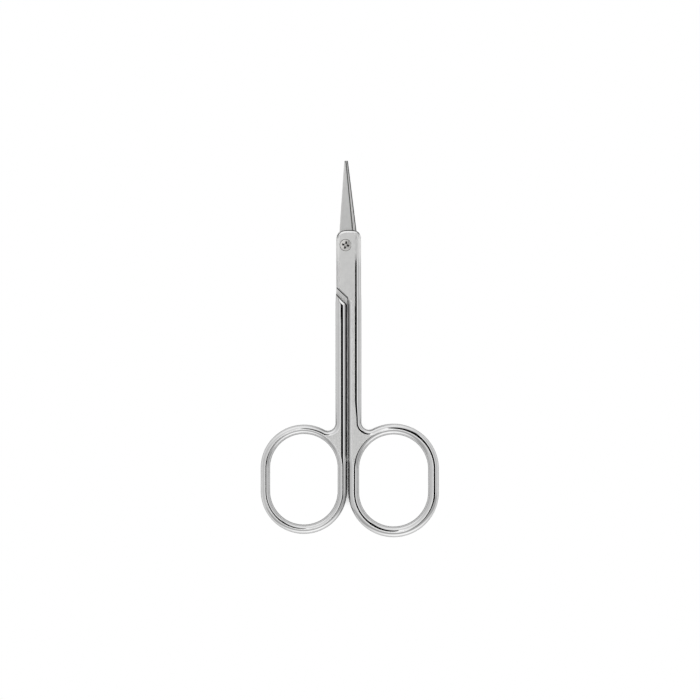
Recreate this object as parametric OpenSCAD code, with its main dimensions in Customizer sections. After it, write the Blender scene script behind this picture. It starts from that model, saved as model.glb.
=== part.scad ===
// Cuticle scissors: two forged halves with finger rings and short curved blades, on one pivot screw.
// X runs across the pair, Y towards the tips and Z up. The pivot's axis is the Z axis, and the closed
// pair lies on Z = 0 with the screw's head up. All lengths are in millimetres.

/* [Body] */
// Thickness of the shanks, the finger rings and the closed joint
body_t = 3; // [2.8:0.1:3.4]
// Width of the rounded edges on each side of a bar
edge_w = 1.04; // [0.9:0.02:1.06]
// Width of the front half's shank
front_shank_w = 3.3; // [3.1:0.1:3.8]
// Width of the back half's shank
back_shank_w = 2.9; // [2.8:0.1:3.4]
// Gap between the closed shanks
shank_gap = 0.33; // [0.2:0.01:0.6]
// How far the middle of that gap lies to the right of the pivot
gap_x = 0.52; // [0.3:0.02:0.7]

/* [Finger rings] */
// Inner radius of the front half's ring
front_hole_r = 8.72; // [8.2:0.02:9.4]
// Inner radius of the back half's ring
back_hole_r = 8.54; // [8:0.02:9.2]
// Width of the front ring's wire
front_wire_w = 2.72; // [2.5:0.02:2.8]
// Width of the back ring's wire
back_wire_w = 2.36; // [2.32:0.02:2.7]
// Distance from the pivot down to the middle of the front ring
front_ring_y = 59.4; // [54:0.1:66]
// Distance from the pivot down to the middle of the back ring
back_ring_y = 59.1; // [54:0.1:66]
// Length of the rings' straight sides
ring_straight = 5.8; // [3:0.2:9]
// Radius of the crotch between a shank and its ring
crotch_r = 1.9; // [1.6:0.1:3]

/* [Joint] */
// Distance from the pivot up to the crown of the blocks
block_top = 3.8; // [3.6:0.1:4.4]
// Radius of the crown
crown_r = 9; // [7:0.5:14]
// Radius of the crown's corners
corner_r = 2; // [1.4:0.1:2.2]
// Bevel round the crown
crown_bevel = 0.4; // [0.2:0.05:0.6]
// How far a block stops short of the other half's outer side
block_inset = 0.2; // [0.1:0.05:0.4]
// Distance from the pivot down to the shoulder, on the inner wall
shoulder_y = 13.7; // [12:0.1:16]
// Slope of the shoulders
shoulder_angle = 44; // [38:1:50]
// Clear width between the closed halves' shoulders
shoulder_gap = 0.95; // [0.7:0.05:1.3]
// Bevel on the shoulders
shoulder_bevel = 0.3; // [0.15:0.05:0.45]
// Running clearance between the two halves' lapped faces
lap_clearance = 0.04; // [0.02:0.01:0.08]

/* [Blades] */
// Distance from the pivot up to the tips
tip_y = 21.2; // [18:0.2:25]
// Distance from the pivot up to where the blades start to curve
bend_y = 3.5; // [3:0.1:5]
// Radius of the blades' curve
bend_r = 66; // [60:2:120]
// How far the blades' centre line lies to the right of the pivot
blade_x = 0.69; // [0.5:0.01:0.9]
// How far the blades lean to the left
blade_lean = 1.55; // [1:0.05:2]
// Distance of the spine from the centre line, at the block
spine_base = 2.14; // [1.9:0.02:2.3]
// Distance of the spine from the centre line, at the tip
spine_tip = 0.46; // [0.36:0.01:0.6]
// How far the cutting edge reaches past the centre line, at the block
edge_base = 1.3; // [1:0.05:1.5]
// How far the cutting edge reaches past the centre line, at the tip
edge_tip = 0.08; // [0.04:0.01:0.12]
// Thickness of a blade on its centre line, at the block
blade_base_t = 0.68; // [0.6:0.02:0.8]
// Thickness of a blade on its centre line, at the tip
blade_tip_t = 0.42; // [0.36:0.02:0.5]
// Slope of the outer face, from the spine down to the cutting edge
face_slope = 12; // [8:1:13]
// Slope of the inner face, which leaves the pair touching near the edges alone
relief_slope = 1.5; // [0.5:0.1:2]
// Slope of the bevel along the cutting edge
bevel_slope = 50; // [40:1:60]
// Thickness left on the cutting edge
edge_t = 0.06; // [0.04:0.01:0.1]

/* [Screw] */
// Diameter of the head
head_d = 2.8; // [2.6:0.1:3]
// Thickness of the head
head_t = 0.62; // [0.54:0.02:0.7]
// Radius of the head's domed top
dome_r = 4.5; // [4:0.5:8]
// Depth of the head's seat in the front half
seat_depth = 0.36; // [0.24:0.02:0.44]
// Diameter of the smooth journal that the front half turns on
journal_d = 1.9; // [1.8:0.1:2.1]
// Diameter of the threaded end
thread_d = 1.6; // [1.4:0.1:1.6]
// Radial clearance of the journal and of the head
fit_clearance = 0.03; // [0.02:0.01:0.06]
// Length of the slots of the cross recess
recess_l = 1.7; // [1.4:0.05:1.8]
// Width of the slots
recess_w = 0.42; // [0.3:0.02:0.5]
// Depth of the slots
recess_depth = 0.4; // [0.3:0.02:0.46]
// Turn of the cross recess
recess_turn = 20; // [0:1:45]

/* [Hidden] */
$fn = 72;
half_t = body_t / 2;
edge_r = (half_t * half_t + edge_w * edge_w) / (2 * edge_w);    // radius of the rounded edges
wall = shank_gap / 2;               // from the gap's middle to a shank's inner side
lap = lap_clearance / 2;            // from the joint's middle plane to a lapped face
overlap = 0.05;                     // how far the pieces of one solid reach into each other
far = 40;                           // longer than any cut needs
nip = 0.08;                         // how far arcs that would touch cross instead
full_arc = 150;                     // where the outer side of a ring's wire ends in the web
web_step = 0.5;                     // how far before the arcs meet a web ends
blade_root = 1.5;                   // how deep a blade is rooted in its block
shoulder_drop = shoulder_gap / cos(shoulder_angle);
blade_length = tip_y - block_top;
edge_lean = atan((edge_base - edge_tip) / blade_length);
taper = (blade_base_t - blade_tip_t) / blade_length;
bend_t = blade_base_t - taper * (bend_y - block_top);
taper_shift = taper * bend_r;       // the outer face's curve lies this much nearer the tips
taper_rise = taper_shift * taper / 2;

// Distance of the spine and of the cutting edge from the blade's centre line, at y
function spine_at(y) = spine_base + (spine_tip - spine_base) * (y - block_top) / blade_length;
function edge_at(y) = edge_base + (edge_tip - edge_base) * (y - block_top) / blade_length;

// A length to a thousandth of a millimetre
function round_off(x) = round(x * 1000) / 1000;

// Height of the block's lower end at x, which slopes down to the inner wall and past it
function shoulder_height(x) = -shoulder_y - (x - wall) * tan(shoulder_angle);

// Section of a bar with rounded sides, from x0 to x1: an arc on each side of a flat top and bottom
module bar_section(x0, x1) {
    intersection() {
        translate([x0 - 1, -half_t]) square([x1 - x0 + 2, body_t]);
        union() {
            translate([x0 + edge_r, 0]) circle(edge_r, $fn = 40);
            translate([x0 + edge_r, -far]) square(2 * far);
        }
        union() {
            translate([x1 - edge_r, 0]) circle(edge_r, $fn = 40);
            translate([x1 - edge_r - 2 * far, -far]) square(2 * far);
        }
    }
}

// The part of that section between xa and xb
module strip_section(x0, x1, xa, xb) {
    intersection() {
        bar_section(x0, x1);
        translate([xa, -far]) square([xb - xa, 2 * far]);
    }
}

// A section drawn in X and Z, drawn out along Y from y0 to y1
module along_y(y0, y1) {
    translate([0, y1, 0]) rotate([90, 0, 0]) linear_extrude(y1 - y0) children();
}

// A section carried along an arc about [x, y]; its X is the distance from there
module along_arc(x, y, from, sweep) {
    translate([x, y, 0]) rotate_extrude(angle = sweep, start = from) children();
}

// Finger ring: wire round a racetrack hole. Next to the shank its outer side is left to the web
// and the shank, and only the side that faces the hole goes on
module ring(x, y, hole_r, wire_w) {
    top = y + ring_straight / 2;
    bottom = y - ring_straight / 2;
    side = hole_r + wire_w;
    inner = hole_r + wire_w / 2 + overlap;
    along_arc(x, top, 0, full_arc) bar_section(hole_r, side);
    along_arc(x, top, full_arc, 180 - full_arc) strip_section(hole_r, side, 0, inner);
    along_arc(x, bottom, 180, 180) bar_section(hole_r, side);
    translate([x, 0, 0]) along_y(bottom, top) {
        bar_section(hole_r, side);
        strip_section(-side, -hole_r, -inner, 0);
    }
}

// Flat web in the corner between the shank, the ring at [x, top] and the crotch's arc. It ends a
// little before the two arcs meet, where their wires already reach into each other
module web(x, top, ring_mid_r, crotch_x, crotch_y, crotch_mid_r) {
    line = [crotch_x - x, crotch_y - top] / norm([crotch_x - x, crotch_y - top]);
    cut = [-line[1], line[0]] * web_step;
    left = x - ring_mid_r;
    translate([0, 0, -half_t]) linear_extrude(body_t) difference() {
        polygon([[left, top], [left, crotch_y], [crotch_x, crotch_y] + cut, [x, top] + cut]);
        translate([x, top]) circle(ring_mid_r);
        translate([crotch_x, crotch_y]) circle(crotch_mid_r);
    }
}

// Disc with a bevelled upper rim, which gives the block's crown and corners their outline
module crown_disc(r) {
    rotate_extrude()
        polygon([[0, -body_t], [r, -body_t], [r, half_t - crown_bevel],
                 [r - 2 * crown_bevel, half_t + crown_bevel], [0, half_t + crown_bevel]]);
}

// What is cut off the block's corner at x: all outside a small disc that fits in the crown, and
// stands out a little, so that it crosses the side and the crown
module corner_cut(x, side, x_mid) {
    cx = x - side * (corner_r - nip);
    crown_y = block_top - crown_r;
    cy = crown_y + sqrt(pow(crown_r - corner_r + nip, 2) - pow(cx - x_mid, 2));
    away = [cx - x_mid, cy - crown_y] / (crown_r - corner_r) * far / 4;
    difference() {
        translate([0, 0, -body_t]) linear_extrude(2 * body_t)
            polygon([[cx, cy], [cx, cy] + away, [cx + side * far, cy + far], [cx + side * far, cy]]);
        translate([cx, cy, 0]) crown_disc(corner_r);
    }
}

// Diamond bar along a sloping edge through [wall, y] at height z, which bevels the edge. Side is 1
// where the solid lies above the edge's line and below z, or -1
module edge_cut(y, z, slope, side) {
    size = (shoulder_bevel + 2 * overlap) * sqrt(2);
    translate([wall, y, z]) rotate([0, 0, slope]) translate([0, -side, side] * overlap)
        rotate([45, 0, 0]) cube([far, size, size], center = true);
}

// Upper layer of the joint: as wide as the closed pair, crowned at the top and cut off below
// along the sloping shoulder
module block(inner, outer) {
    x_mid = (inner + outer) / 2;
    reach = wall + edge_r;          // the shoulder runs on as far as the shank's edge is round
    foot = shoulder_height(reach);
    difference() {
        intersection() {
            along_y(foot, block_top + 1) bar_section(inner, outer);
            translate([x_mid, block_top - crown_r, 0]) crown_disc(crown_r);
            translate([0, 0, lap]) linear_extrude(body_t)
                polygon([[inner - 1, shoulder_height(inner - 1)], [reach, foot], [outer + 1, foot],
                         [outer + 1, block_top + 1], [inner - 1, block_top + 1]]);
        }
        corner_cut(outer, 1, x_mid);
        corner_cut(inner, -1, x_mid);
        edge_cut(-shoulder_y, half_t, -shoulder_angle, 1);
    }
}

// Shank up to the joint. Its lower layer ends at a sloping step, clear of the other half's block
module shank(y0, outer) {
    step_y = -shoulder_y - shoulder_drop;
    step_out = step_y + (outer + 1 - wall) * tan(shoulder_angle);
    step_in = step_y - tan(shoulder_angle);
    top = -shoulder_y + edge_r;     // ends inside the block
    difference() {
        along_y(y0, top) bar_section(wall, outer);
        translate([0, 0, lap - body_t]) linear_extrude(body_t)
            polygon([[wall - 1, step_in], [outer + 1, step_out], [outer + 1, top + far],
                     [wall - 1, top + far]]);
        edge_cut(step_y, -half_t, shoulder_angle, -1);
    }
}

// One half without its blade, as the right and upper one. X is measured from the gap's middle.
// The crotch's arc dips a little into the ring's, and so crosses it at a small angle
module half(shank_w, other_w, hole_r, wire_w, ring_y) {
    outer = wall + shank_w;
    ring_x = wall + wire_w + hole_r;
    ring_top = -ring_y + ring_straight / 2;
    crotch_x = outer + crotch_r;
    between = hole_r + wire_w + crotch_r - nip;
    crotch_y = round_off(ring_top + sqrt(pow(between, 2) - pow(ring_x - crotch_x, 2)));
    meet = 90 + asin((ring_x - crotch_x) / between);
    inner = wire_w / 2 + overlap;
    block(-wall - other_w + block_inset, outer);
    shank(crotch_y, outer);
    ring(ring_x, -ring_y, hole_r, wire_w);
    along_y(-ring_y - ring_straight / 2, crotch_y) strip_section(wall, outer, wall - 1, wall + inner);
    along_arc(crotch_x, crotch_y, 180, meet)
        strip_section(crotch_r, crotch_r + wire_w, 0, crotch_r + inner);
    web(ring_x, ring_top, hole_r + wire_w / 2, crotch_x, crotch_y, crotch_r + wire_w / 2);
}

// Space above a face that curves up towards the tips. The face falls by slope towards +X, and at
// its lowest line it passes through [x, y, z]
module above_curve(x, y, z, slope, lean = 0) {
    r = bend_r / cos(slope);
    translate([x, y, z]) rotate([0, 0, lean]) rotate([0, slope, 0]) translate([0, 0, r])
        rotate([0, 90, 0]) cylinder(h = far, r = r, center = true, $fn = 360);
}

// Outline of the front blade about its centre line: spine on the left, cutting edge on the right
module blade_outline() {
    root = block_top - blade_root;
    polygon([[-spine_at(root), root], [edge_at(root), root], [edge_tip, tip_y], [-spine_tip, tip_y]]);
}

// Blade of the upper half: flat ground, bevelled on top along its cutting edge
module upper_blade() {
    difference() {
        intersection() {
            linear_extrude(far) blade_outline();
            above_curve(edge_tip, bend_y, lap, relief_slope);
        }
        above_curve(0, bend_y + taper_shift, lap + bend_t - taper_rise, face_slope);
        above_curve(edge_at(bend_y), bend_y, lap + edge_t, bevel_slope, edge_lean);
    }
}

// Blade of the lower half: the same blade the other way round, under the same curve
module lower_blade() {
    difference() {
        intersection() {
            translate([0, 0, -body_t]) linear_extrude(far) mirror([1, 0]) blade_outline();
            above_curve(0, bend_y - taper_shift, -lap - bend_t - taper_rise, face_slope);
            above_curve(-edge_at(bend_y), bend_y, -lap - edge_t, bevel_slope, -edge_lean);
        }
        above_curve(-edge_tip, bend_y, -lap, relief_slope);
    }
}

// A cylinder on the pivot's axis, from z0 to z1
module on_axis(d, z0, z1) {
    translate([0, 0, z0]) cylinder(d = d, h = z1 - z0);
}

// Half that lies in front: right ring, upper layer of the joint, left blade
module front_half() {
    color([0.78, 0.78, 0.77]) translate([0, 0, half_t]) difference() {
        union() {
            translate([gap_x, 0, 0])
                half(front_shank_w, back_shank_w, front_hole_r, front_wire_w, front_ring_y);
            translate([blade_x, 0, 0]) rotate([0, 0, blade_lean]) upper_blade();
        }
        on_axis(journal_d + 2 * fit_clearance, -half_t, body_t);
        on_axis(head_d + 2 * fit_clearance, half_t - seat_depth, body_t);
    }
}

// Half that lies behind: left ring, lower layer of the joint, right blade
module back_half() {
    color([0.72, 0.72, 0.71]) translate([0, 0, half_t]) difference() {
        union() {
            translate([gap_x, 0, 0]) rotate([0, 180, 0])
                half(back_shank_w, front_shank_w, back_hole_r, back_wire_w, back_ring_y);
            translate([blade_x, 0, 0]) rotate([0, 0, blade_lean]) lower_blade();
        }
        on_axis(thread_d, -body_t, body_t);
    }
}

// Shoulder screw: domed head with a cross recess, smooth journal, threaded end in the back half
module pivot_screw() {
    under_head = half_t - seat_depth + lap;
    head_top = under_head + head_t;
    color([0.84, 0.84, 0.82]) translate([0, 0, half_t]) difference() {
        union() {
            intersection() {
                on_axis(head_d, under_head, head_top);
                translate([0, 0, head_top - dome_r]) sphere(dome_r, $fn = 180);
            }
            on_axis(journal_d, -lap, under_head + overlap);
            on_axis(thread_d, -half_t, overlap);
        }
        for (turn = [0, 90])
            translate([0, 0, head_top]) rotate([0, 0, recess_turn + turn])
                cube([recess_l, recess_w, 2 * recess_depth], center = true);
    }
}

back_half();
front_half();
pivot_screw();
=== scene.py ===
import math

import bmesh
import bpy
import numpy as np
from mathutils.geometry import delaunay_2d_cdt
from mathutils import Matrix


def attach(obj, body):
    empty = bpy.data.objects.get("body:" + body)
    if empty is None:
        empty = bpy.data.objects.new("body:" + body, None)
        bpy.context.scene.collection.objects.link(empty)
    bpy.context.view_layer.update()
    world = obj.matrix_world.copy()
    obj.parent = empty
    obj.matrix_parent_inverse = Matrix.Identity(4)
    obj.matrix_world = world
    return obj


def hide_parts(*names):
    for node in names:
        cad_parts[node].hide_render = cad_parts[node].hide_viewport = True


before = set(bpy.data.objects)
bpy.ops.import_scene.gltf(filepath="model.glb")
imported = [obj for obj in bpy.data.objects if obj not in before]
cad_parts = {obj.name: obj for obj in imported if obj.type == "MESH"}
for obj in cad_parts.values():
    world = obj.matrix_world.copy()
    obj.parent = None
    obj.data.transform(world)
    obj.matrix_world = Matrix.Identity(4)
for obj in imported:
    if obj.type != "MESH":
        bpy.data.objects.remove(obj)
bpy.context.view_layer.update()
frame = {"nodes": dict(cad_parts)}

# Cuticle scissors, closed, seen from straight above. All sizes below are millimetres in the frame of
# the CAD model: X across, Y towards the tips, Z up, the pivot on the Z axis, the table at Z = 0.
mm = 0.001
print("frame loaded:", ", ".join(frame["nodes"]))


def gridFaces(rows, columns):
    # Quads between neighbouring rows and columns of a grid, whose points are numbered row by row
    row, column = np.meshgrid(np.arange(rows - 1), np.arange(columns - 1), indexing="ij")
    first = row * columns + column
    return np.stack([first, first + 1, first + columns + 1, first + columns], -1).reshape(-1, 4)


def isInside(points, loop):
    # A point is inside where a line from it towards +X crosses the loop an odd number of times
    a, b = loop[None], np.roll(loop, -1, 0)[None]
    x, y = points[:, :1], points[:, 1:]
    spans = (a[..., 1] > y) != (b[..., 1] > y)
    with np.errstate(divide="ignore", invalid="ignore"):
        crossX = a[..., 0] + (y - a[..., 1]) / (b[..., 1] - a[..., 1]) * (b[..., 0] - a[..., 0])
    return (spans & (crossX > x)).sum(1) % 2 == 1


def smoothStep(x, low, high):
    # 0 below low, 1 above high, and between them three times the square less twice the cube
    t = np.clip((x - low) / (high - low), 0, 1)
    return t * t * (3 - 2 * t)


class Sheets:
    # Collects the grids and flat areas of one piece, then welds them into one closed mesh. Each point
    # has its polish: 1 where it is buffed, 0 satin, and below 0 a near-black painted shade line, darkest
    # at -1
    def __init__(self):
        self.points, self.faces, self.marks, self.count = [], [], [], 0

    def add(self, points, faces, polish, flip=False):
        # polish is one number, or one for each point
        points = np.asarray(points, float).reshape(-1, 3)
        faces = np.asarray(faces) + self.count
        self.points.append(points)
        self.faces += (faces[:, ::-1] if flip else faces).tolist()
        self.marks.append(np.broadcast_to(np.asarray(polish, float), len(points)))
        self.count += len(points)

    def grid(self, points, polish, flip=False):
        # A surface given by rows and columns of points
        rows, columns = points.shape[:2]
        marks = np.broadcast_to(np.asarray(polish, float), (rows, columns)).reshape(-1)
        self.add(points, gridFaces(rows, columns), marks, flip)

    def flat(self, loops, z, flip=False):
        # Satin area at height z, inside the first loop and outside the others, cut into triangles
        edges, start = [], 0
        for loop in loops:
            ring = np.arange(len(loop)) + start
            edges += np.stack([ring, np.roll(ring, -1)], 1).tolist()
            start += len(loop)
        outline = [tuple(p) for p in np.concatenate(loops).tolist()]
        found = delaunay_2d_cdt(outline, edges, [], 1, 1e-7)
        corners = np.array([tuple(p) for p in found[0]])
        triangles = np.array(found[2])
        middles = corners[triangles].mean(1)
        keep = isInside(middles, loops[0])
        for hole in loops[1:]:
            keep &= ~isInside(middles, hole)
        triangles = triangles[keep]
        a, b, c = (corners[triangles[:, k]] for k in range(3))
        turn = (b[:, 0] - a[:, 0]) * (c[:, 1] - a[:, 1]) - (b[:, 1] - a[:, 1]) * (c[:, 0] - a[:, 0])
        triangles = np.where(turn[:, None] < 0, triangles[:, ::-1], triangles)
        self.add(np.column_stack([corners, np.full(len(corners), float(z))]), triangles, 0.0, flip)

    def place(self, move):
        # Takes the points to where the function moves them
        self.points = [move(p) for p in self.points]

    def build(self, name, sharpAngle):
        # Points closer together than the weld become one, and faces of no size go
        weld, speck = 0.0012, 0.0005
        mesh = bpy.data.meshes.new(name)
        mesh.from_pydata((np.concatenate(self.points) * mm).tolist(), [], self.faces)
        corner = np.empty(len(mesh.loops), int)
        mesh.loops.foreach_get("vertex_index", corner)
        marks = mesh.attributes.new("polish", "FLOAT", "CORNER")
        marks.data.foreach_set("value", np.concatenate(self.marks)[corner])
        work = bmesh.new()
        work.from_mesh(mesh)
        bmesh.ops.remove_doubles(work, verts=work.verts, dist=weld * mm)
        bmesh.ops.dissolve_degenerate(work, edges=work.edges, dist=speck * mm)
        bmesh.ops.recalc_face_normals(work, faces=work.faces)
        work.to_mesh(mesh)
        openEdges = sum(1 for e in work.edges if len(e.link_faces) != 2)
        work.free()
        mesh.shade_smooth()
        mesh.set_sharp_from_angle(angle=math.radians(sharpAngle))
        piece = bpy.data.objects.new(name, mesh)
        bpy.context.scene.collection.objects.link(piece)
        print(name, len(mesh.polygons), "faces,", openEdges, "open edges")
        return piece


# What both halves share. A line is the width of a painted shade line, rows are the places of a
# surface's rows, close together where its slope changes, and a mark is the polish somewhere
joint = dict(
    thickness=3.0, gap=0.33, gapX=0.52,    # the gap between the shanks lies gapX right of the pivot
    lap=0.02,                              # from the joint's middle plane to a lapped face
    # the block, which stops short of the other half's outer side by inset
    inset=0.34, blockRound=0.6, buffFrom=(2.2, 5.5), evenRows=14, evenColumns=34,
    # its upper end, the crown, whose line fades out down the rounded sides
    crownY=3.8, crownR=9.0, cornerR=2.0, cornerBlend=0.16, crownBevel=0.42, crownWide=0.6,
    crownLine=0.21, lineFade=(-0.45, -0.05),
    crownRows=(2.0, 1.86, 1.72, 1.58, 1.45, 1.32, 1.2, 1.08, 0.97, 0.87, 0.78, 0.7, 0.65, 0.6, 0.57, 0.54,
               0.5, 0.45, 0.4, 0.36, 0.3, 0.24, 0.18, 0.12, 0.06, 0.0),
    # its lower end, the shoulder
    shoulderY=13.7, shoulderAngle=44.0, shoulderGap=0.95, shoulderBevel=0.3, shoulderWide=0.45,
    shoulderLine=0.25, shoulderRows=(0.0, 0.1, 0.2, 0.28, 0.32, 0.4, 0.5, 0.57, 0.62, 0.67, 0.74),
    # the step in the shank that faces the other half's shoulder. Its line is a share of its width
    stepBevel=0.44, stepWide=1.3, stepSteeper=1.05, stepLine=0.23,
    stepRows=(0.0, 0.17, 0.22, 0.4, 0.6, 0.78, 0.9, 1.0),
    # the pivot's opening
    seatR=1.43, seatDepth=0.36, boreR=0.98, threadR=0.8, rimChamfer=0.06, rimFlat=0.04, frameWide=0.14,
    # shank and ring. The outline has its own points below freeY, and the block's rows above
    freeY=-19.0, ringStraight=5.8, wireFlat=0.08, ringFade=(-3.6, -0.4),
    crotchR=1.9, crotchRound=1.26, crotchFade=6.0,
    # The back half's wall mark is painted shade of the gap; wallShade is where it ends
    wallShade=(0.44, 0.56),                # where the wall's own polish ends, from its outside
    groundWide=1.3, groundY=(-14.5, -11.5),
    # Marks below 0 paint near-black shade lines: shadeLineMark along the shoulder's and the crown's
    # bevels and the step's edge, rimShadeMark round the pivot's seat
    shadeLineMark=-1.0, rimShadeMark=-0.8, bevelMark=0.9, crownWallMark=0.6, stepWallMark=0.3,
    sharpAngle=28,
)
# The widths of the shank and of the other half's, the ring, and the rounded edges: how wide they are
# along the wall and the outer side, and the powers of their superellipses
# wallPolishAndShade is the wall's own mark: a lower polish on the front half, painted shade of the gap
# between the shanks on the back half
frontSizes = dict(shank=3.3, other=2.9, holeR=8.72, wire=2.72, ringY=59.4, wallRound=0.9, sideRound=1.66,
                  ringPower=2.15, wallPower=2.25, wallPolishAndShade=0.2, groundBack=0.09)
backSizes = dict(shank=2.9, other=3.3, holeR=8.54, wire=2.36, ringY=59.1, wallRound=1.6, sideRound=1.2,
                 ringPower=2.0, wallPower=2.25, wallPolishAndShade=-0.9, groundBack=0.17)

halfT = joint["thickness"] / 2
slope = math.tan(math.radians(joint["shoulderAngle"]))
spread = 1 - np.cos(np.linspace(0, math.pi / 2, 25))   # shares of a rounded edge's width, from outside in


def rise(power):
    # Share of a rounded edge's height over the shares of its width, on a superellipse of this power
    return (1 - (1 - spread) ** power) ** (1 / power)


def alongLine(x0, y0, x1, y1, step):
    # Points on a straight line without its end, and the direction into the solid, on their left
    length = math.hypot(x1 - x0, y1 - y0)
    n = max(1, round(length / step))
    t = np.arange(n)[:, None] / n
    points = np.array([x0, y0]) * (1 - t) + np.array([x1, y1]) * t
    inward = np.array([-(y1 - y0), x1 - x0]) / length
    return points, np.repeat(inward[None], n, 0)


def alongArc(x, y, r, a0, a1, step):
    # Points on a circle from angle a0 to a1, without the last. Turning left its middle is inside the
    # solid, turning right it is outside
    n = max(2, round(abs(math.radians(a1 - a0)) * r / step))
    a = np.radians(a0 + (a1 - a0) * np.arange(n) / n)
    out = np.stack([np.cos(a), np.sin(a)], 1)
    return np.array([x, y]) + r * out, out * (-1 if a1 > a0 else 1)


class Forging:
    # One half without its blade, in a frame of its own: Z = 0 is the joint's middle plane, the shank
    # runs from its wall along the gap on the left to its outer side, and the block reaches to the
    # left over the other half's shank, as far as inner
    def __init__(self, sizes, hasSeat):
        j = joint
        self.sizes, self.hasSeat, self.sheets = sizes, hasSeat, Sheets()
        self.wall = j["gap"] / 2
        self.outer = self.wall + sizes["shank"]
        self.inner = -self.wall - sizes["other"] + j["inset"]
        self.ringSide = sizes["holeR"] + sizes["wire"]
        self.ringX = self.wall + self.ringSide
        self.ringTop = -sizes["ringY"] + j["ringStraight"] / 2
        self.ringBottom = self.ringTop - j["ringStraight"]
        self.wireRound = (sizes["wire"] - j["wireFlat"]) / 2
        self.stepY = -j["shoulderY"] - j["shoulderGap"] / math.cos(math.radians(j["shoulderAngle"]))
        self.stepRows = j["stepWide"] * np.array(j["stepRows"])

        # The crown is a wide arc with a small arc in each corner. They meet this far from its middle
        self.crownX, self.crownMid = (self.inner + self.outer) / 2, j["crownY"] - j["crownR"]
        self.cornerX = self.outer - j["cornerR"] - self.crownX
        self.cornerY = self.crownMid + math.sqrt((j["crownR"] - j["cornerR"]) ** 2 - self.cornerX ** 2)
        self.cornerReach = self.cornerX * j["crownR"] / (j["crownR"] - j["cornerR"])

        # Columns across the joint: the block's inner edge and middle, then the shank's wall edge,
        # its crest and its outer edge
        self.blockEdge = self.inner + j["blockRound"] * spread
        self.blockMiddle = np.linspace(self.blockEdge[-1], self.wall, j["evenColumns"])[1:-1]
        wallEdge = self.wall + sizes["wallRound"] * spread
        self.crest = np.linspace(wallEdge[-1], self.outer - sizes["sideRound"], 4)[1:-1]
        outerEdge = self.outer - sizes["sideRound"] * spread[::-1]
        self.shankColumns = np.concatenate([wallEdge, self.crest, outerEdge])
        self.columns = np.concatenate([self.blockEdge, self.blockMiddle, self.shankColumns])

    def shoulder(self, x):
        # The block's slanted lower end
        return -joint["shoulderY"] - (x - self.wall) * slope

    def step(self, x):
        # The slanted end of the shank's lower layer, which faces the other half's shoulder
        return self.stepY + (x - self.wall) * slope

    def crown(self, x):
        # The block's upper end
        off = np.abs(x - self.crownX)
        wide = self.crownMid + np.sqrt(np.maximum(joint["crownR"] ** 2 - off ** 2, 0))
        small = self.cornerY + np.sqrt(np.maximum(joint["cornerR"] ** 2 - (off - self.cornerX) ** 2, 0))
        return np.where(off > self.cornerReach, small, wide)

    def crownDistance(self, x, y):
        # How far a point lies inside the crown's arcs. Below the corners it is called far away
        farAway = 9.0
        off = np.abs(x - self.crownX) - self.cornerX
        inWide = joint["crownR"] - np.hypot(x - self.crownX, y - self.crownMid)
        inSmall = joint["cornerR"] - np.hypot(off, y - self.cornerY)
        atCorner = (off > 0) & (off * (self.cornerY - self.crownMid) > (y - self.cornerY) * self.cornerX)
        return np.where(y < self.cornerY, farAway, np.where(atCorner, inSmall, inWide))

    def roundHeight(self, distance, width, power=2.0):
        # Height of a rounded edge of this width, over the distance from its outside
        t = np.clip(1 - distance / width, 0, 1)
        return joint["lap"] + (halfT - joint["lap"]) * (1 - t ** power) ** (1 / power)

    def shankHeight(self, x):
        # The lower of the shank's two rounded edges, and the lapped face beside the shank
        wallHeight = self.roundHeight(x - self.wall, self.sizes["wallRound"], self.sizes["wallPower"])
        low = np.minimum(wallHeight, self.roundHeight(self.outer - x, self.sizes["sideRound"]))
        return np.where(x < self.wall - 1e-9, joint["lap"], low)

    def wallPolishAndShadeMarks(self, distance):
        # The wall's rounded edge has its own mark, a lower polish on the front half and painted shade
        # of the gap between the shanks on the back half, and past its shade range it is buffed
        return 1 - (1 - self.sizes["wallPolishAndShade"]) * (1 - smoothStep(distance, *joint["wallShade"]))

    def levels(self, power, top):
        # Heights up a rounded edge, from the lapped face to the top or to the underside
        height = (halfT - joint["lap"]) if top else -(halfT + joint["lap"])
        return joint["lap"] + height * rise(power)

    def outline(self):
        # Down the wall from its free end, round the ring and the crotch, and up the outer side: the
        # points, their directions inwards, the width and power of the rounded edge there, and how
        # much each belongs to the wall
        j, s = joint, self.sizes
        crotchX, between = self.outer + j["crotchR"], self.ringSide + j["crotchR"]
        crotchY = self.ringTop + math.sqrt(between ** 2 - (self.ringX - crotchX) ** 2)
        meet = 90 + math.degrees(math.asin((self.ringX - crotchX) / between))
        rightX = self.ringX + self.ringSide
        straight, curved, tight = 0.5, 0.25, 0.08      # between points
        parts = [
            alongLine(self.wall, j["freeY"], self.wall, self.ringBottom, straight),
            alongArc(self.ringX, self.ringBottom, self.ringSide, 180, 360, curved),
            alongLine(rightX, self.ringBottom, rightX, self.ringTop, straight),
            alongArc(self.ringX, self.ringTop, self.ringSide, 0, meet, curved),
            alongArc(crotchX, crotchY, j["crotchR"], meet - 180, -180, tight),
            alongLine(self.outer, crotchY, self.outer, j["freeY"], straight),
        ]
        path = np.concatenate([p for p, n in parts] + [np.array([[self.outer, j["freeY"]]])])
        inward = np.concatenate([n for p, n in parts] + [np.array([[-1.0, 0.0]])])
        ends = np.cumsum([len(p) for p, n in parts])
        onWall, inCrotch, onSide = slice(ends[0]), slice(ends[3], ends[4]), slice(ends[4], None)

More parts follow.
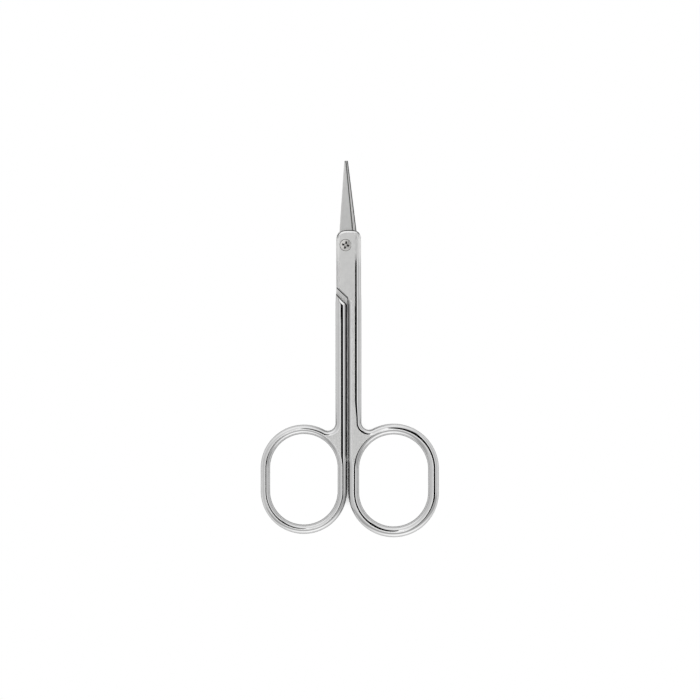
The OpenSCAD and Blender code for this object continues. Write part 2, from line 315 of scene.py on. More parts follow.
        width = np.full(len(path), self.wireRound)
        power = np.full(len(path), s["ringPower"])
        wallShare = np.zeros(len(path))
        toRing = smoothStep(self.ringTop - path[onWall, 1], *j["ringFade"])
        width[onWall] = s["wallRound"] + (self.wireRound - s["wallRound"]) * toRing
        power[onWall] = s["wallPower"] + (s["ringPower"] - s["wallPower"]) * toRing
        wallShare[onWall] = 1 - toRing
        turned = np.arange(ends[4] - ends[3]) / (ends[4] - ends[3])
        width[inCrotch] += (j["crotchRound"] - self.wireRound) * smoothStep(turned, 0.0, 0.5)
        upSide = smoothStep(path[onSide, 1], crotchY, crotchY + j["crotchFade"])
        width[onSide] = j["crotchRound"] + (s["sideRound"] - j["crotchRound"]) * upSide
        power[onSide] += (2 - s["ringPower"]) * upSide
        return path, inward, width, power, wallShare

    def edgeStrip(self, wallEnds, sideEnds, top):
        # The rounded edge carried along the outline, between its points above the free ends. Each of
        # those has its Y and its shear, by which the strip is cut off slantwise there
        s = self.sizes
        path, inward, width, power, wallShare = self.outline()
        before, after = np.array(wallEnds), np.array(sideEnds)
        atWall, atSide = np.ones(len(before)), np.ones(len(after))
        x0 = np.concatenate([self.wall * atWall, path[:, 0], self.outer * atSide])[:, None]
        y0 = np.concatenate([before[:, 0], path[:, 1], after[:, 0]])[:, None]
        inX = np.concatenate([atWall, inward[:, 0], -atSide])[:, None]
        inY = np.concatenate([0 * atWall, inward[:, 1], 0 * atSide])[:, None]
        shear = np.concatenate([before[:, 1], np.zeros(len(path)), after[:, 1]])[:, None]
        width = np.concatenate([s["wallRound"] * atWall, width, s["sideRound"] * atSide])
        power = np.concatenate([s["wallPower"] * atWall, power, 2 * atSide])[:, None]
        wallShare = np.concatenate([atWall, wallShare, 0 * atSide])[:, None]
        distance = width[:, None] * spread
        x, y = x0 + inX * distance, y0 + inY * distance + shear * distance
        marks = 1 - wallShare * (1 - self.wallPolishAndShadeMarks(distance))
        self.sheets.grid(np.stack([x, y, self.levels(power, top)], -1), marks, flip=not top)
        return np.stack([x[:, -1], y[:, -1]], 1)

    def holeStrip(self, top):
        # The rounded edge of the finger hole, a racetrack
        r, x = self.sizes["holeR"], self.ringX
        straight, curved = 0.5, 0.25       # between points
        parts = [
            alongArc(x, self.ringTop, r, 180, 0, curved),
            alongLine(x + r, self.ringTop, x + r, self.ringBottom, straight),
            alongArc(x, self.ringBottom, r, 0, -180, curved),
            alongLine(x - r, self.ringBottom, x - r, self.ringTop, straight),
        ]
        path, inward = (np.concatenate([part[k] for part in parts]) for k in (0, 1))
        distance = self.wireRound * spread
        x, y = (path[:, k:k + 1] + inward[:, k:k + 1] * distance for k in (0, 1))
        points = np.stack([x, y, np.broadcast_to(self.levels(2.0, top), x.shape)], -1)
        self.sheets.grid(np.concatenate([points, points[:1]]), 1.0, flip=not top)
        return points[:, -1, :2]

    def blockSurface(self):
        # Rows run from the shoulder to the crown, with some where the step meets the outer side. The
        # height at a point is the lowest of the rounded sides and the bevels of shoulder and crown
        j = joint
        low, high = self.shoulder(self.columns), self.crown(self.columns)
        start, end = low + j["shoulderRows"][-1], high - j["crownRows"][0]
        atStep = (self.step(self.outer) - self.stepRows[::-1] - start[-1]) / (end[-1] - start[-1])
        even, clear = np.linspace(0, 1, j["evenRows"]), 0.02
        shares = np.concatenate([even[even < atStep[0] - clear], atStep, even[even > atStep[-1] + clear]])
        y = np.concatenate([low + np.array(j["shoulderRows"][:-1])[:, None],
                            start + shares[:, None] * (end - start),
                            high - np.array(j["crownRows"][1:])[:, None]])
        x = np.broadcast_to(self.columns, y.shape)
        sideHeight = np.minimum(self.roundHeight(x - self.inner, j["blockRound"]),
                                self.roundHeight(self.outer - x, self.sizes["sideRound"]))
        ramp = (y - self.shoulder(x)) * math.cos(math.radians(j["shoulderAngle"]))
        inCrown = self.crownDistance(x, y)
        shoulderHeight = halfT - j["shoulderBevel"] + ramp * j["shoulderBevel"] / j["shoulderWide"]
        crownHeight = halfT - j["crownBevel"] + inCrown * j["crownBevel"] / j["crownWide"]

        # Where the crown's bevel meets a rounded side, the crease between them is blended away
        blend = j["cornerBlend"] * smoothStep(halfT - sideHeight, 0, j["cornerBlend"]) + 1e-6
        part = np.clip(0.5 + (sideHeight - crownHeight) / (2 * blend), 0, 1)
        crowned = sideHeight + (crownHeight - sideHeight) * part - blend * part * (1 - part)
        z = np.minimum(crowned, shoulderHeight)
        z = np.maximum(z, np.minimum(self.shankHeight(x), crowned))

        # Sides are buffed away from the screw, bevels all over, and painted shade lines run along the
        # lower edges of the shoulder's and the crown's bevels
        buffed = smoothStep(-y, *j["buffFrom"])
        polish = np.where(sideHeight < halfT - 1e-4, buffed, 0.0)
        onBlock = x < self.wall - 0.01
        onBevel = (crownHeight < halfT) | ((shoulderHeight < halfT) & onBlock)
        polish = np.where(onBevel, j["bevelMark"], polish)
        atShoulder = (ramp < j["shoulderLine"]) & onBlock
        atCrown = (inCrown < j["crownLine"]) * smoothStep(sideHeight - crownHeight, *j["lineFade"])
        polish = polish + (j["shadeLineMark"] - polish) * np.maximum(atShoulder, atCrown)
        return np.stack([x, y, z], -1), polish

    def addBlock(self, block, polish):
        # Round the pivot the block's rows and columns give way to rings about it: in the front half
        # down into the head's seat and the bore, in the back half down into the thread's hole
        j, y = joint, block[..., 1]
        pivotX = -j["gapX"] if self.hasSeat else j["gapX"]
        holeR = j["seatR"] if self.hasSeat else j["threadR"]
        frameR = holeR + j["frameWide"]
        c0 = np.searchsorted(self.columns, pivotX - frameR) - 1
        c1 = np.searchsorted(self.columns, pivotX + frameR)
        r0 = np.where((y[:, c0:c1 + 1] < -frameR).all(1))[0][-1]
        r1 = np.where((y[:, c0:c1 + 1] > frameR).all(1))[0][0]
        faces = gridFaces(*y.shape)
        row, column = np.divmod(faces[:, 0], y.shape[1])
        keep = (row < r0) | (row >= r1) | (column < c0) | (column >= c1)
        self.sheets.add(block, faces[keep], polish.reshape(-1))

        border = np.concatenate([block[r0, c0:c1], block[r0:r1, c1], block[r1, c1:c0:-1],
                                 block[r1:r0:-1, c0]])
        angle = np.arctan2(border[:, 1], border[:, 0] - pivotX)
        rimR, seatZ = holeR + j["rimChamfer"], halfT - j["seatDepth"]
        profile = [(rimR + j["rimFlat"], halfT), (rimR, halfT), (holeR, halfT - j["rimChamfer"])]
        if self.hasSeat:
            profile += [(holeR, seatZ), (j["boreR"], seatZ)]
        profile.append((profile[-1][0], j["lap"]))
        rings = [border] + [np.column_stack([pivotX + r * np.cos(angle), r * np.sin(angle),
                                             np.full(len(angle), z)]) for r, z in profile]
        rings = np.array(rings)
        # Painted shade round the head: the rim's chamfer and the seat's wall are marked dark
        marks = np.zeros((len(rings), 1))
        marks[2:5] = j["rimShadeMark"]
        self.sheets.grid(np.concatenate([rings, rings[:, :1]], 1), marks, flip=True)
        return rings[-1, :, :2]

    def addEnds(self, block):
        # Upright faces at the block's ends: the shoulder, down to the shank's top or the lapped face,
        # and the crown's wall
        foot = np.stack([self.columns, block[0, :, 1], self.shankHeight(self.columns)], -1)
        self.sheets.grid(np.stack([foot, block[0]]), 0.0)
        crownEdge = block[-1].copy()
        crownEdge[:, 2] = joint["lap"]
        self.sheets.grid(np.stack([block[-1], crownEdge]), joint["crownWallMark"])

    def addTop(self):
        # Shank and ring from above: the rounded edges and the flat between them. The strip's shear
        # fades down the wall from the shoulder's to none at its free end
        top, freeY = self.shoulder(self.wall), joint["freeY"]
        wallY = (top, *(self.stepY - self.stepRows))
        wallEnds = [(y, -slope * (y - freeY) / (top - freeY)) for y in wallY]
        outerLoop = self.edgeStrip(wallEnds, [(self.shoulder(self.outer), slope)], True)
        holeLoop = self.holeStrip(True)
        across = np.stack([self.crest, self.shoulder(self.crest)], 1)[::-1]
        self.sheets.flat([np.concatenate([outerLoop, across]), holeLoop[::-1]], halfT)

    def addUnderside(self, block):
        # Shank and ring from below, as far as a bevel along the step. On the outer side its rows are
        # the block's, so that both meet
        j, wide = joint, joint["stepWide"]
        sideY = block[:, -1, 1]
        sideY = sideY[sideY < self.step(self.outer) - wide + 1e-6]
        sideEnds = [(y, -slope * (y - sideY[0]) / (sideY[-1] - sideY[0])) for y in sideY]
        outerLoop = self.edgeStrip([(self.stepY - wide, slope)], sideEnds, False)
        holeLoop = self.holeStrip(False)
        across = np.stack([self.crest, self.step(self.crest) - wide], 1)[::-1]
        self.sheets.flat([np.concatenate([outerLoop, across]), holeLoop[::-1]], -halfT, flip=True)

        # The bevel is a slope over the distance from the step, cut into the rounded shank
        rows = self.stepRows[::-1, None]
        y = self.step(self.shankColumns) - rows
        x = np.broadcast_to(self.shankColumns, y.shape)
        bevel = halfT - j["stepBevel"] * (1 - j["stepSteeper"] * rows / wide)
        under = (self.shankHeight(x) - j["lap"]) * (halfT + j["lap"]) / (halfT - j["lap"]) - j["lap"]
        z = -np.minimum(under, bevel)
        z[0] = -under[0]
        # A painted shade line along the step's edge, and the wall's own mark elsewhere
        marks = np.where(rows < wide * j["stepLine"], j["shadeLineMark"], self.wallPolishAndShadeMarks(x - self.wall))
        self.sheets.grid(np.stack([x, y, z], -1), marks, flip=True)
        stepFoot = np.stack([x[-1], y[-1], z[-1]], -1)
        stepTop = np.stack([x[-1], y[-1], np.full(len(self.shankColumns), j["lap"])], -1)
        self.sheets.grid(np.stack([stepFoot, stepTop]), j["stepWallMark"], flip=True)

    def addLappedFace(self, block, bore):
        # The flat that the other half lies against: from the step up the outer side, round the crown,
        # down the inner side and along the shoulder
        outerRows = block[:, -1, :2]
        outerRows = outerRows[outerRows[:, 1] > self.step(self.outer) + 1e-6]
        wallColumn = len(self.blockEdge) + len(self.blockMiddle)
        loop = np.concatenate([
            np.stack([self.shankColumns, self.step(self.shankColumns)], 1), outerRows,
            block[-1, -2::-1, :2], block[-2::-1, 0, :2], block[0, 1:wallColumn + 1, :2],
        ])
        self.sheets.flat([loop, bore[::-1]], joint["lap"], flip=True)

    def build(self):
        # All faces of the half, which meet point on point
        block, polish = self.blockSurface()
        bore = self.addBlock(block, polish)
        self.addEnds(block)
        self.addTop()
        self.addUnderside(block)
        self.addLappedFace(block, bore)
        return self.sheets


# Base and tip values are at the crown and at the tips. Spine and edge are measured from the blades'
# middle line, which leans to the left, and the root is what the joint covers
blade = dict(
    tipY=21.2, bendY=3.5, bendR=66.0, x=0.69, lean=1.55, root=1.5, rows=70,
    spineBase=2.14, spineTip=0.46, edgeBase=1.3, edgeTip=0.08, baseT=0.68, tipT=0.42, edgeT=0.06,
    faceSlope=12.0, reliefSlope=1.5, bevelSlope=50.0, spineRound=0.16, spineDrop=0.9,
    # edgeShadeMark paints shade of the gap between the blades along the cutting edge, whose ground bevel
    # is also bare steel; spineShadeMark paints a shade line beside the lower blade's spine
    spineLine=(0.26, 0.2), edgeShadeMark=-0.95, spineShadeMark=-0.95, endMark=0.2,
)


def curvedFace(x, y, x0, y0, z0, degrees, lean=0.0):
    # A face that falls by the slope towards +X and rises on an arc towards the tips, through
    # [x0, y0, z0]. lean turns it about the upright
    turn, tilt = math.radians(lean), math.radians(degrees)
    across = (x - x0) * math.cos(turn) + (y - y0) * math.sin(turn)
    ahead = -(x - x0) * math.sin(turn) + (y - y0) * math.cos(turn)
    r = blade["bendR"] / math.cos(tilt)
    return z0 + (r - np.sqrt(r * r - ahead * ahead)) / math.cos(tilt) - across * math.tan(tilt)


def buildBlade(sheets, upper):
    # A closed section, given by its corners, carried from the root to the tip. The upper blade has
    # its spine on the left, the lower one on the right and upside down
    b, lap, crownY = blade, joint["lap"], joint["crownY"]
    hand = 1 if upper else -1
    length, toBend = b["tipY"] - crownY, b["bendY"] - crownY
    taper = (b["baseT"] - b["tipT"]) / length
    shift, lift = hand * taper * b["bendR"], taper * taper * b["bendR"] / 2
    bendT = hand * (lap + b["baseT"] - taper * toBend)
    y = np.linspace(crownY - b["root"], b["tipY"], b["rows"])
    along = (y - crownY) / length
    spine = -hand * (b["spineBase"] + (b["spineTip"] - b["spineBase"]) * along)
    edge = hand * (b["edgeBase"] + (b["edgeTip"] - b["edgeBase"]) * along)
    edgeBend = b["edgeBase"] + (b["edgeTip"] - b["edgeBase"]) * toBend / length
    edgeLean = math.degrees(math.atan((b["edgeBase"] - b["edgeTip"]) / length))

    def inside(x):
        return curvedFace(x, y, hand * b["edgeTip"], b["bendY"], hand * lap, b["reliefSlope"])

    def outside(x):
        return curvedFace(x, y, 0, b["bendY"] + shift, bendT - lift, b["faceSlope"])

    def ground(x):
        return curvedFace(x, y, hand * edgeBend, b["bendY"], hand * (lap + b["edgeT"]), b["bevelSlope"],
                          hand * edgeLean)

    # Where the ground bevel meets the outer face, found in four steps by their difference in slope
    steeper = math.tan(math.radians(b["bevelSlope"])) - math.tan(math.radians(b["faceSlope"]))
    bevelX = edge - hand * 0.01
    for k in range(4):
        bevelX = bevelX - (outside(bevelX) - ground(bevelX)) / steeper

    # The section: round the spine, over the outer face and the bevel, and back along the inner face
    round90 = np.linspace(math.pi / 2, 0, 7)[:, None]
    spineX = spine + hand * b["spineRound"] * (1 - np.sin(round90))
    spineZ = outside(spineX) - hand * b["spineRound"] * b["spineDrop"] * (1 - np.cos(round90))
    faceStart = spine + hand * b["spineRound"]
    faceX = faceStart + (bevelX - faceStart) * np.linspace(0, 1, 9)[1:, None]
    bevelMiddle = (bevelX + edge) / 2
    lineStart, lineMiddle = (spine + hand * away for away in b["spineLine"])
    insideX = edge + (lineStart - edge) * np.linspace(0, 1, 8)[1:, None]
    xs = np.vstack([spineX, faceX, bevelMiddle, edge, edge, insideX, lineMiddle, spine])
    zs = np.vstack([spineZ, outside(faceX), ground(bevelMiddle), ground(edge),
                    inside(edge), inside(insideX), inside(lineMiddle), inside(spine)])
    polish = np.zeros(len(xs))
    faceEnd = len(spineX) + len(faceX)
    # Painted shade lines along the ground edge and, on the lower blade, beside its spine
    polish[faceEnd:faceEnd + 3] = b["edgeShadeMark"]
    polish[-2:] = 0.0 if upper else b["spineShadeMark"]

    turn = math.radians(b["lean"])
    ys = np.broadcast_to(y, xs.shape)
    points = np.stack([xs * math.cos(turn) - ys * math.sin(turn) + b["x"],
                       xs * math.sin(turn) + ys * math.cos(turn), zs + halfT], -1)
    sheets.grid(np.concatenate([points, points[:1]]), np.append(polish, polish[0])[:, None], flip=upper)
    around, count = np.arange(len(xs)), len(xs)
    fan = np.stack([around, (around + 1) % count, np.full(count, count)], 1)
    for row, turned in ((0, False), (-1, True)):
        end = np.vstack([points[:, row], points[:, row].mean(0)])
        sheets.add(end, fan, b["endMark"], flip=turned == upper)


def atFront(p):
    # From the front half's own frame to the scissors'
    return p + np.array([joint["gapX"], 0, halfT])


def atBack(p):
    # The back half is turned over about Y
    return p * np.array([-1, 1, -1]) + np.array([joint["gapX"], 0, halfT])


def raised(p):
    # From the joint's middle plane up to its height over the table
    return p + np.array([0, 0, halfT])


def finishHalf(name, sizes, place, upper, node, body):
    # The joint's outer side is ground back a little from the shank's, fading out inwards and below
    sheets = Forging(sizes, upper).build()
    outer = joint["gap"] / 2 + sizes["shank"]
    for p in sheets.points:
        outwards = smoothStep(p[:, 0], outer - joint["groundWide"], outer)
        p[:, 0] -= sizes["groundBack"] * outwards * smoothStep(p[:, 1], *joint["groundY"])
    sheets.place(place)
    buildBlade(sheets, upper)
    piece = sheets.build(name, joint["sharpAngle"])
    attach(piece, body)
    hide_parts(node)
    return piece


print("building the halves")
frontPiece = finishHalf("frontForging", frontSizes, atFront, True, "front_half", "front")
backPiece = finishHalf("backForging", backSizes, atBack, False, "back_half", "back")

screw = dict(
    headR=1.4, headT=0.62, domeR=4.5, rimRound=0.06, rimDrops=(0.02, 0.07),
    journalR=0.95, threadR=0.8, threadChamfer=0.08,
    crossLength=1.8, crossWidth=0.42, crossDepth=0.4, crossTurn=-13.0, soften=0.09,
    # crossShadeFade is where the cross's painted shade fades in from its middle
    shallowEnds=0.35, endFade=(-0.1, 0.5), crossShadeFade=(0.26, 0.42),
    fineR=1.12, fineRows=56, rimRows=10, turnColumns=241, sharpAngle=32,
)


def buildScrew():
    # The head is a dome over radius and turn. The cross is pressed into it where the distance from
    # either slot's middle line is less than half its width, shallower towards the slots' ends
    s = screw
    sheets = Sheets()
    underHead = halfT - joint["seatDepth"] + joint["lap"]
    domeMiddle = underHead + s["headT"] - s["domeR"]
    domeEnd = s["headR"] - s["rimRound"]
    r = np.concatenate([np.linspace(0, s["fineR"], s["fineRows"]),
                        np.linspace(s["fineR"], domeEnd, s["rimRows"])[1:]])
    turn = np.linspace(0, 2 * math.pi, s["turnColumns"])
    rr, aa = np.meshgrid(r, turn, indexing="ij")
    x, y = rr * np.cos(aa), rr * np.sin(aa)
    z = domeMiddle + np.sqrt(s["domeR"] ** 2 - rr ** 2)
    t = math.radians(s["crossTurn"])
    u, v = x * math.cos(t) + y * math.sin(t), -x * math.sin(t) + y * math.cos(t)
    deep = np.zeros_like(z)
    for along, across in ((u, v), (v, u)):
        into = np.minimum(s["crossWidth"] / 2 - np.abs(across), s["crossLength"] / 2 - np.abs(along))
        deep = np.maximum(deep, smoothStep(into, -s["soften"] / 2, s["soften"] / 2))
    fade = smoothStep(s["crossLength"] / 2 - rr, *s["endFade"])
    z = z - deep * s["crossDepth"] * (s["shallowEnds"] + (1 - s["shallowEnds"]) * fade)
    # Painted shade in the cross recess, fading out towards its middle
    crossShade = deep * smoothStep(rr, *s["crossShadeFade"])
    sheets.grid(np.stack([x, y, z], -1), 1 - crossShade, flip=True)

    # The rest is turned: rim, underside of the head, journal and threaded end
    rimZ = domeMiddle + math.sqrt(s["domeR"] ** 2 - domeEnd ** 2)
    threadTop, chamfer = -joint["lap"], s["threadChamfer"]
    slight, full = s["rimDrops"]
    lathe = np.array([
        [domeEnd, rimZ], [s["headR"] - slight, rimZ - slight], [s["headR"], rimZ - full],
        [s["headR"], underHead], [s["journalR"], underHead], [s["journalR"], threadTop],
        [s["threadR"], threadTop], [s["threadR"], -halfT + chamfer], [s["threadR"] - chamfer, -halfT],
        [0.0, -halfT],
    ])
    rr, aa = np.meshgrid(lathe[:, 0], turn, indexing="ij")
    zz = np.broadcast_to(lathe[:, 1:], rr.shape)
    sheets.grid(np.stack([rr * np.cos(aa), rr * np.sin(aa), zz], -1), 1.0, flip=True)
    sheets.place(raised)
    return sheets.build("pivotScrew", s["sharpAngle"])


print("building the screw")
screwPiece = buildScrew()
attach(screwPiece, "back")
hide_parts("pivot_screw")


def linear(hexColour):
    # sRGB hex to linear light
    srgb = np.array([int(hexColour[i:i + 2], 16) for i in (1, 3, 5)]) / 255
    value = np.where(srgb <= 0.04045, srgb / 12.92, ((srgb + 0.055) / 1.055) ** 2.4)
    return (*value.tolist(), 1.0)


def addNode(tree, kind, inputs=None, **settings):
    # A node with its settings. Each input, by name or number, gets a value or another node's output.
    # Mix has its two colours at 6 and 7, and the mixed colour at output 2
    node = tree.nodes.new(kind)
    for key, value in settings.items():
        setattr(node, key, value)
    for key, given in (inputs or {}).items():
        if isinstance(given, bpy.types.NodeSocket):
            tree.links.new(given, node.inputs[key])
        else:
            node.inputs[key].default_value = given
    return node


def newMaterial(name):
    # A material with an empty node tree
    material = bpy.data.materials.new(name)
    material.use_nodes = True
    material.node_tree.nodes.clear()
    return material, material.node_tree


steel = dict(
    # shadeLine is the near-black colour of painted shade lines, creaseShade that of painted shade in
    # narrow places
    satin="#eeeeed", buffed="#d3d3d3", shadeLine="#202120", creaseShade="#1e1e1d",
    satinRough=0.52, polishRough=0.04, unevenRough=(0.9, 1.12),
    brushLength=2.6, brushWidth=0.05, brushDepth=0.006, brushBump=0.35,    # lines of a fine belt
    smudge=1.1, streakFrom=(0.7, 1.3), streakTo=(0.95, 1.04), cloud=6.0, cloudFrom=(0.3, 0.7), dull=0.97,
    # How far the painted crease shade looks for close surfaces, and the occlusion over which it fades in
    cornerReach=0.9, cornerLow=0.42, cornerHigh=0.88,
)


def platedSteel():
    # Nickel-plated carbon steel: flats and blades ground to a fine satin, rounded edges buffed, so
    # flats look even grey and edges show sharp dark and white lines
    s = steel
    material, tree = newMaterial("nickelPlatedSteel")
    place = addNode(tree, "ShaderNodeTexCoord")
    polish = addNode(tree, "ShaderNodeAttribute", attribute_name="polish").outputs["Fac"]
    lengthwise = 1 / (s["brushLength"] * mm)
    scale = addNode(tree, "ShaderNodeMapping", {"Vector": place.outputs["Object"], "Scale": (
        1 / (s["brushWidth"] * mm), lengthwise, lengthwise)})
    brush = addNode(tree, "ShaderNodeTexNoise", {
        "Vector": scale.outputs[0], "Scale": 1.0, "Detail": 3.0, "Roughness": 0.6})
    cloud = addNode(tree, "ShaderNodeTexNoise", {
        "Vector": place.outputs["Object"], "Scale": 1 / (s["cloud"] * mm), "Detail": 3.0})
    smudge = addNode(tree, "ShaderNodeTexNoise", {
        "Vector": place.outputs["Object"], "Scale": 1 / (s["smudge"] * mm), "Detail": 4.0,
        "Roughness": 0.65})

    # Roughness: satin or buffed, and a little uneven
    rough = addNode(tree, "ShaderNodeMapRange", {
        "Value": polish, "To Min": s["satinRough"], "To Max": s["polishRough"]})
    uneven = addNode(tree, "ShaderNodeMapRange", {
        "Value": cloud.outputs[0], "To Min": s["unevenRough"][0], "To Max": s["unevenRough"][1]})
    rougher = addNode(tree, "ShaderNodeMath", {0: rough.outputs[0], 1: uneven.outputs[0]},
                      operation="MULTIPLY")

    # Colour: faint marks of the belt and of handling
    streak = addNode(tree, "ShaderNodeMath", {0: smudge.outputs[0], 1: brush.outputs[0]}, operation="ADD")
    streaky = addNode(tree, "ShaderNodeMapRange", {
        "Value": streak.outputs[0], "From Min": s["streakFrom"][0], "From Max": s["streakFrom"][1],
        "To Min": s["streakTo"][0], "To Max": s["streakTo"][1]})
    cloudy = addNode(tree, "ShaderNodeMapRange", {
        "Value": cloud.outputs[0], "From Min": s["cloudFrom"][0], "From Max": s["cloudFrom"][1],
        "To Min": 1.0, "To Max": s["dull"]})
    worn = addNode(tree, "ShaderNodeMath", {0: cloudy.outputs[0], 1: streaky.outputs[0]},
                   operation="MULTIPLY")
    finish = addNode(tree, "ShaderNodeMix", {
        0: polish, 6: linear(s["satin"]), 7: linear(s["buffed"])}, data_type="RGBA")
    tint = addNode(tree, "ShaderNodeVectorMath", {0: finish.outputs[2], "Scale": worn.outputs[0]},
                   operation="SCALE")

    # Painted shade: buffed surfaces turn near black in narrow places, as the occlusion finds them
    corner = addNode(tree, "ShaderNodeAmbientOcclusion", {"Distance": s["cornerReach"] * mm}, samples=8)
    narrow = addNode(tree, "ShaderNodeMapRange", {
        "Value": corner.outputs["AO"], "From Min": s["cornerLow"], "From Max": s["cornerHigh"],
        "To Min": 1.0, "To Max": 0.0})
    creaseShadeAmount = addNode(tree, "ShaderNodeMath", {0: narrow.outputs[0], 1: polish}, operation="MULTIPLY",
                    use_clamp=True)
    creaseShaded = addNode(tree, "ShaderNodeMix", {
        0: creaseShadeAmount.outputs[0], 6: tint.outputs[0], 7: linear(s["creaseShade"])}, data_type="RGBA")

    # Painted shade lines: where polish is below 0 the colour goes to near black, darkest at -1
    plated = addNode(tree, "ShaderNodeMapRange", {"Value": polish, "From Min": -1.0, "From Max": 0.0})
    marked = addNode(tree, "ShaderNodeMix", {
        0: plated.outputs[0], 6: linear(s["shadeLine"]), 7: creaseShaded.outputs[2]}, data_type="RGBA")

    # The brush lines are relief on satin only
    relief = addNode(tree, "ShaderNodeMapRange", {
        "Value": polish, "To Min": s["brushBump"], "To Max": 0.0})
    bump = addNode(tree, "ShaderNodeBump", {
        "Height": brush.outputs[0], "Strength": relief.outputs[0], "Distance": s["brushDepth"] * mm})
    shader = addNode(tree, "ShaderNodeBsdfPrincipled", {
        "Base Color": marked.outputs[2], "Roughness": rougher.outputs[0], "Normal": bump.outputs[0],
        "Metallic": 1.0})
    addNode(tree, "ShaderNodeOutputMaterial", {0: shader.outputs[0]})
    return material


# crossShade is the painted shade colour of the cross recess
screwLook = dict(clean="#e2e1de", crossShade="#3c3b39", rough=(0.34, 0.5), grain=0.6, grainDepth=0.004,
                 grainBump=0.2)


def screwSteel():
    # Turned and polished steel: bright and slightly uneven, with painted shade in the cross recess,
    # clear at its middle
    s = screwLook
    material, tree = newMaterial("polishedScrewSteel")
    place = addNode(tree, "ShaderNodeTexCoord")
    grain = addNode(tree, "ShaderNodeTexNoise", {
        "Vector": place.outputs["Object"], "Scale": 1 / (s["grain"] * mm), "Detail": 4.0})
    rough = addNode(tree, "ShaderNodeMapRange", {
        "Value": grain.outputs[0], "To Min": s["rough"][0], "To Max": s["rough"][1]})
    bump = addNode(tree, "ShaderNodeBump", {
        "Height": grain.outputs[0], "Strength": s["grainBump"], "Distance": s["grainDepth"] * mm})
    polish = addNode(tree, "ShaderNodeAttribute", attribute_name="polish")
    tint = addNode(tree, "ShaderNodeMix", {
        0: polish.outputs["Fac"], 6: linear(s["crossShade"]), 7: linear(s["clean"])}, data_type="RGBA")
    shader = addNode(tree, "ShaderNodeBsdfPrincipled", {
        "Base Color": tint.outputs[2], "Roughness": rough.outputs[0], "Normal": bump.outputs[0],
        "Metallic": 1.0})
    addNode(tree, "ShaderNodeOutputMaterial", {0: shader.outputs[0]})
    return material


print("making the materials")
plated = platedSteel()
frontPiece.data.materials.append(plated)
backPiece.data.materials.append(plated)
screwPiece.data.materials.append(screwSteel())

studio = dict(
    floorSize=3000.0, floorDepth=0.02, floorColour="#dadada",
    contact=4.0, contactLow=0.12, contactHigh=0.3, mirrorReach=14.0, mirrorLow=0.72, mirrorHigh=1.0,
    cardTurn=11.0, cardFrom=-0.22, cardTo=0.5, cardSoft=0.06, brightest=2.0,
    # light at shares of the way from the left horizon, -1, over the top, 0, to the right one, 1
    across=[(-1.0, 0.78), (-0.5, 0.8), (-0.2, 1.0), (-0.05, 1.15), (0.025, 1.6), (0.04, 0.0), (0.54, 0.0),
            (0.58, 1.4), (0.67, 1.3), (0.75, 0.74), (1.0, 0.74)],
    # and, before and behind that band, from the near horizon to the far one
    along=[(-1.0, 1.6), (-0.8, 1.2), (-0.6, 0.52), (-0.3, 0.6), (0.45, 0.8), (0.6, 0.85), (0.95, 1.3)],
)


def paperFloor():
    # White paper: pure white to the lens and to reflections in the open, its own shade where the
    # object stands close over it
    s = studio
    material, tree = newMaterial("whitePaperSweep")
    ray = addNode(tree, "ShaderNodeLightPath")
    seen = addNode(tree, "ShaderNodeMath", {
        0: ray.outputs["Is Camera Ray"], 1: ray.outputs["Is Glossy Ray"]}, operation="MAXIMUM")
    seenAll = addNode(tree, "ShaderNodeMath", {
        0: seen.outputs[0], 1: ray.outputs["Is Transmission Ray"]}, operation="MAXIMUM")
    closeBy = addNode(tree, "ShaderNodeAmbientOcclusion", {"Distance": s["contact"] * mm}, samples=8)
    direct = addNode(tree, "ShaderNodeMapRange", {
        "Value": closeBy.outputs["AO"], "From Min": s["contactLow"], "From Max": s["contactHigh"]})
    around = addNode(tree, "ShaderNodeAmbientOcclusion", {"Distance": s["mirrorReach"] * mm}, samples=8)
    mirrored = addNode(tree, "ShaderNodeMapRange", {
        "Value": around.outputs["AO"], "From Min": s["mirrorLow"], "From Max": s["mirrorHigh"]})
    either = addNode(tree, "ShaderNodeMix", {
        0: ray.outputs["Is Camera Ray"], 2: mirrored.outputs[0], 3: direct.outputs[0]}, data_type="FLOAT")
    share = addNode(tree, "ShaderNodeMath", {0: seenAll.outputs[0], 1: either.outputs[0]},
                    operation="MULTIPLY")
    paper = addNode(tree, "ShaderNodeBsdfDiffuse", {"Color": linear(s["floorColour"])})
    glow = addNode(tree, "ShaderNodeEmission", {"Color": (1, 1, 1, 1), "Strength": 1.0})
    mix = addNode(tree, "ShaderNodeMixShader", {
        0: share.outputs[0], 1: paper.outputs[0], 2: glow.outputs[0]})
    addNode(tree, "ShaderNodeOutputMaterial", {0: mix.outputs[0]})

    half, z = s["floorSize"] / 2, -s["floorDepth"]
    corners = np.array([(-half, -half, z), (half, -half, z), (half, half, z), (-half, half, z)]) * mm
    mesh = bpy.data.meshes.new("floor")
    mesh.from_pydata(corners.tolist(), [], [(0, 1, 2, 3)])
    floor = bpy.data.objects.new("floor", mesh)
    bpy.context.scene.collection.objects.link(floor)
    mesh.materials.append(material)


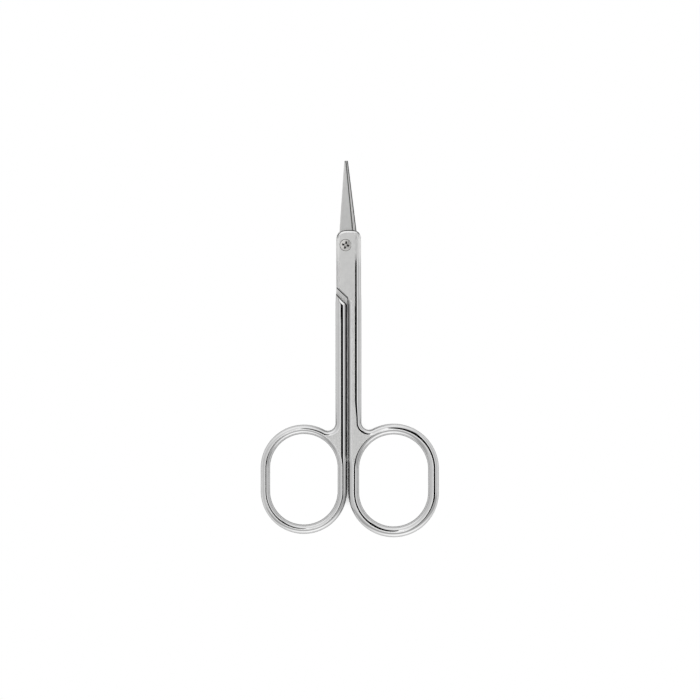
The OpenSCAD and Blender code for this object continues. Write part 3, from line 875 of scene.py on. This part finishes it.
def softLight():
    # Soft light all round, with a black card a little to the right of straight above, between two
    # bright strips: it is what the rounded edges mirror as lines. The lens sees plain white
    s = studio
    world = bpy.data.worlds.new("softStudio")
    world.use_nodes = True
    tree = world.node_tree
    tree.nodes.clear()
    turn = math.radians(s["cardTurn"])
    place = addNode(tree, "ShaderNodeTexCoord")
    directions = [(math.cos(turn), math.sin(turn), 0), (-math.sin(turn), math.cos(turn), 0)]
    right, ahead = (addNode(tree, "ShaderNodeVectorMath", {0: place.outputs["Generated"], 1: direction},
                            operation="DOT_PRODUCT").outputs["Value"] for direction in directions)
    ramps = []
    for value, stops in ((right, s["across"]), (ahead, s["along"])):
        share = addNode(tree, "ShaderNodeMapRange", {"Value": value, "From Min": -1.0, "From Max": 1.0})
        ramp = addNode(tree, "ShaderNodeValToRGB", {0: share.outputs[0]})
        ramps.append(ramp.outputs[0])
        elements = ramp.color_ramp.elements
        for k, (position, light) in enumerate(stops):
            element = elements[k] if k < 2 else elements.new(1.0)
            element.position = (position + 1) / 2
            element.color = (*[light / s["brightest"]] * 3, 1)
    above = addNode(tree, "ShaderNodeMapRange", {
        "Value": ahead, "From Min": s["cardFrom"] - s["cardSoft"], "From Max": s["cardFrom"]},
        interpolation_type="SMOOTHSTEP")
    below = addNode(tree, "ShaderNodeMapRange", {
        "Value": ahead, "From Min": s["cardTo"], "From Max": s["cardTo"] + s["cardSoft"], "To Min": 1.0,
        "To Max": 0.0}, interpolation_type="SMOOTHSTEP")
    within = addNode(tree, "ShaderNodeMath", {0: above.outputs[0], 1: below.outputs[0]},
                     operation="MULTIPLY")
    light = addNode(tree, "ShaderNodeMix", {
        0: within.outputs[0], 6: ramps[1], 7: ramps[0]}, data_type="RGBA")
    lit = addNode(tree, "ShaderNodeBackground", {"Color": light.outputs[2], "Strength": s["brightest"]})
    white = addNode(tree, "ShaderNodeBackground", {"Color": (1, 1, 1, 1), "Strength": 1.0})
    ray = addNode(tree, "ShaderNodeLightPath")
    mix = addNode(tree, "ShaderNodeMixShader", {
        0: ray.outputs["Is Camera Ray"], 1: lit.outputs[0], 2: white.outputs[0]})
    addNode(tree, "ShaderNodeOutputWorld", {0: mix.outputs[0]})
    bpy.context.scene.world = world


print("setting up the studio")
paperFloor()
softLight()

# Straight above. The frame is frameWidth wide at the height planeZ, and its middle lies below and
# right of the pivot
view = dict(middleX=1.11, middleY=-26.44, frameWidth=176.75, lens=135.0, sensor=36.0, planeZ=2.0)
camera = bpy.data.cameras.new("camera")
camera.lens = view["lens"]
camera.sensor_width = view["sensor"]
cameraObject = bpy.data.objects.new("camera", camera)
distance = view["frameWidth"] * view["lens"] / view["sensor"]
cameraObject.location = (view["middleX"] * mm, view["middleY"] * mm, (distance + view["planeZ"]) * mm)
bpy.context.scene.collection.objects.link(cameraObject)
bpy.context.scene.camera = cameraObject
bpy.context.scene.view_settings.view_transform = "Standard"

print("scene ready")
